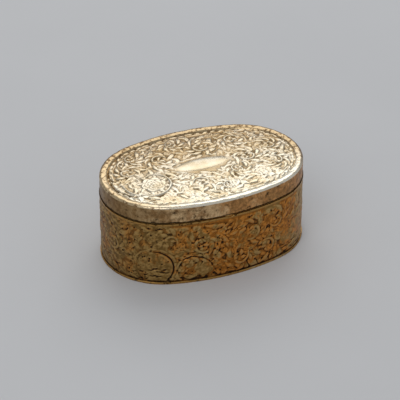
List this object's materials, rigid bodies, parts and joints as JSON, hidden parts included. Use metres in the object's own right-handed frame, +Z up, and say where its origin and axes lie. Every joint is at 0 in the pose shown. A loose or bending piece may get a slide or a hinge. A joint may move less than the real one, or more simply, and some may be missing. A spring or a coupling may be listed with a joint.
{
  "type": "candy box",
  "caption": "Oval gilt metal candy box with a flush knuckle-hinged lid, chased foliate sides and lid, a plain cartouche, an inner guiding collar and a rounded foot wire.",
  "frame": {"origin": "centre of the flat underside of the foot, on the surface the box stands on", "axes": "+X along the length of the oval, +Y towards the hinge at the back, so the nail nick faces -Y, and +Z up"},
  "size_m": [0.0952, 0.0632, 0.041],
  "materials": {
    "chased_wall": "chased, gilding worn and darkened in the hollows",
    "chased_lid": "chased, bright gilding with brown hollows",
    "lid_border_gilt": "polished gilding",
    "lid_band_gilt": "plain gilding, dulled and lightly dented",
    "plain_gilt": "plain gilding, rubbed",
    "inner_gilt": "plain satin gilding",
    "hinge_metal": "drawn tube and wire, worn"
  },
  "bodies": {
    "box": {"body_wall": "chased_wall", "base_plate": "inner_gilt", "foot_wire": "plain_gilt", "rim_wire": "plain_gilt", "bezel": "inner_gilt", "body_hinge_bearer": "inner_gilt", "body_knuckle_left": "hinge_metal", "body_knuckle_middle": "hinge_metal", "body_knuckle_right": "hinge_metal", "hinge_pin": "hinge_metal"},
    "lid": {"lid_band": "lid_band_gilt", "lid_panel": "chased_lid", "lid_border": "lid_border_gilt", "lid_hinge_bearer": "inner_gilt", "lid_knuckle_left": "hinge_metal", "lid_knuckle_right": "hinge_metal"}
  },
  "joints": [
    {"name": "lid_hinge", "type": "hinge", "parent": "box", "child": "lid", "pos_m": [0, 0.03018, 0.032], "axis": [-1, 0, 0], "range_deg": [0, 100]}
  ]
}
